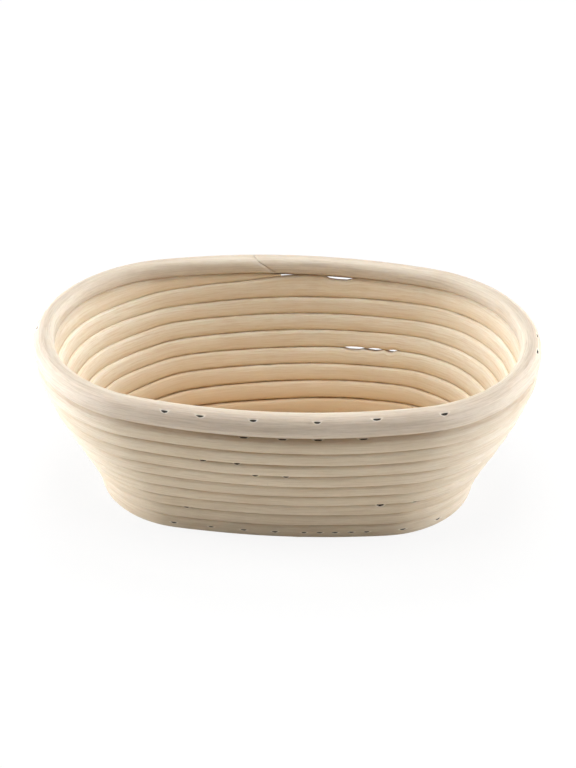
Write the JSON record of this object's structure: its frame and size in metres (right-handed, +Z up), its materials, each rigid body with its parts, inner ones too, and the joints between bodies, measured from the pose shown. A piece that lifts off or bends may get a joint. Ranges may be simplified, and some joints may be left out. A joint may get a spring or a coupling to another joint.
{
  "type": "proofing basket",
  "caption": "Oval coiled cane basket with flared ribbed walls, a stouter rim hoop and an open top, for proving and shaping bread dough.",
  "frame": {"origin": "on the table under the middle of the floor", "axes": "+X along the basket, +Y to the back, +Z up out of its mouth"},
  "size_m": [0.2498, 0.1599, 0.0861],
  "materials": {
    "peeled_cane": "bare peeled rattan, matt, with fine lengthwise fibres",
    "rim_cane": "bare peeled rattan, matt and paler",
    "staple_wire": "dull galvanised wire"
  },
  "bodies": {
    "root": {"floor_coil": "peeled_cane", "floor_core": "peeled_cane", "floor_staple_01": "staple_wire", "floor_staple_02": "staple_wire", "floor_staple_03": "staple_wire", "floor_staple_04": "staple_wire", "floor_staple_05": "staple_wire", "floor_staple_06": "staple_wire", "floor_staple_07": "staple_wire", "floor_staple_08": "staple_wire", "foot_staple_01": "staple_wire", "foot_staple_02": "staple_wire", "foot_staple_03": "staple_wire", "foot_staple_04": "staple_wire", "foot_staple_05": "staple_wire", "foot_staple_06": "staple_wire", "foot_staple_07": "staple_wire", "foot_staple_08": "staple_wire", "foot_staple_09": "staple_wire", "foot_staple_10": "staple_wire", "foot_staple_11": "staple_wire", "rim_hoop": "rim_cane", "rim_staple_01": "staple_wire", "rim_staple_02": "staple_wire", "rim_staple_03": "staple_wire", "rim_staple_04": "staple_wire", "rim_staple_05": "staple_wire", "rim_staple_06": "staple_wire", "rim_staple_07": "staple_wire", "rim_staple_08": "staple_wire", "rim_staple_09": "staple_wire", "rim_staple_10": "staple_wire", "rim_staple_11": "staple_wire", "rim_staple_12": "staple_wire", "rim_staple_13": "staple_wire", "wall_cane_lower": "peeled_cane", "wall_cane_middle": "peeled_cane", "wall_cane_upper": "peeled_cane", "wall_staple_01": "staple_wire", "wall_staple_02": "staple_wire", "wall_staple_03": "staple_wire", "wall_staple_04": "staple_wire", "wall_staple_05": "staple_wire", "wall_staple_06": "staple_wire", "wall_staple_07": "staple_wire", "wall_staple_08": "staple_wire", "wall_staple_09": "staple_wire", "wall_staple_10": "staple_wire", "wall_staple_11": "staple_wire", "wall_staple_12": "staple_wire", "wall_staple_13": "staple_wire", "wall_staple_14": "staple_wire", "wall_staple_15": "staple_wire", "wall_staple_16": "staple_wire", "wall_staple_17": "staple_wire", "wall_staple_18": "staple_wire", "wall_staple_19": "staple_wire", "wall_staple_20": "staple_wire"}
  },
  "joints": []
}
